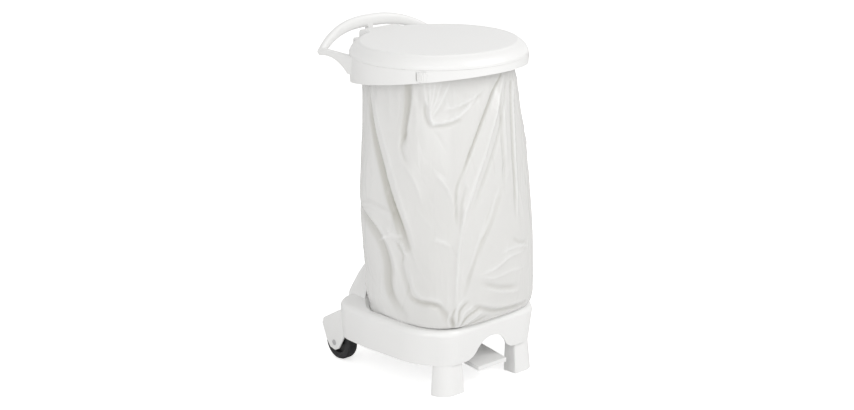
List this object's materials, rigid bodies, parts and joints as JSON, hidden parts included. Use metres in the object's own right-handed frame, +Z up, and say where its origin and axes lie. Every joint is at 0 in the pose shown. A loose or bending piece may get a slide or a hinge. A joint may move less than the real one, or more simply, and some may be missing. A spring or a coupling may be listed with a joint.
{
  "type": "pedal bin bag holder",
  "caption": "Wheeled pedal bin bag holder in white plastic: a base tray, a rear column, a bag ring with a bow handle, a lid that the pedal lifts, and a translucent white bag.",
  "frame": {"origin": "on the floor, under the middle of the holder's overall box", "axes": "+Z up, the front with the pedal faces -Y, +X to the right seen from the front"},
  "size_m": [0.46, 0.5314, 0.9155],
  "materials": {
    "white_moulding": "satin",
    "bag_film": "translucent",
    "tread_rubber": "matt",
    "black_plastic": "matt",
    "steel": "brushed"
  },
  "bodies": {
    "frame": {"base_tray": "white_moulding", "left_foot": "white_moulding", "right_foot": "white_moulding", "foot_screws": "steel", "column": "white_moulding", "lower_rod_guide": "white_moulding", "upper_rod_guide": "white_moulding", "lower_column_screws": "steel", "upper_column_screws": "steel", "bag_ring": "white_moulding", "hinge_pin": "steel", "pedal_shaft": "steel", "shaft_clips": "steel", "left_axle": "steel", "right_axle": "steel", "axle_clips": "steel", "bag": "bag_film"},
    "pedal": {"pedal": "white_moulding"},
    "rod": {"lift_rod": "steel", "lower_cross_pin": "steel", "upper_cross_pin": "steel"},
    "lid": {"lid": "white_moulding"},
    "left_wheel": {"left_tyre": "tread_rubber", "left_hub": "black_plastic"},
    "right_wheel": {"right_tyre": "tread_rubber", "right_hub": "black_plastic"}
  },
  "joints": [
    {"name": "pedal_pivot", "type": "hinge", "parent": "frame", "child": "pedal", "pos_m": [0, -0.0045, 0.084], "axis": [1, 0, 0], "range_deg": [0, 10.25]},
    {"name": "lift_rod_slide", "type": "slide", "parent": "frame", "child": "rod", "axis": [0, 0, 1], "range_m": [0, 0.0357]},
    {"name": "lid_hinge", "type": "hinge", "parent": "frame", "child": "lid", "pos_m": [0, 0.2155, 0.86], "axis": [-1, 0, 0], "range_deg": [0, 75.1]},
    {"name": "left_wheel_spin", "type": "hinge", "parent": "frame", "child": "left_wheel", "pos_m": [-0.168, 0.1915, 0.05], "axis": [1, 0, 0], "continuous": true},
    {"name": "right_wheel_spin", "type": "hinge", "parent": "frame", "child": "right_wheel", "pos_m": [0.168, 0.1915, 0.05], "axis": [1, 0, 0], "continuous": true}
  ],
  "couplings": [
    {"joint": "lift_rod_slide", "follows": "pedal_pivot", "m_per_rad": 0.199},
    {"joint": "lid_hinge", "follows": "pedal_pivot", "ratio": 7.317}
  ]
}
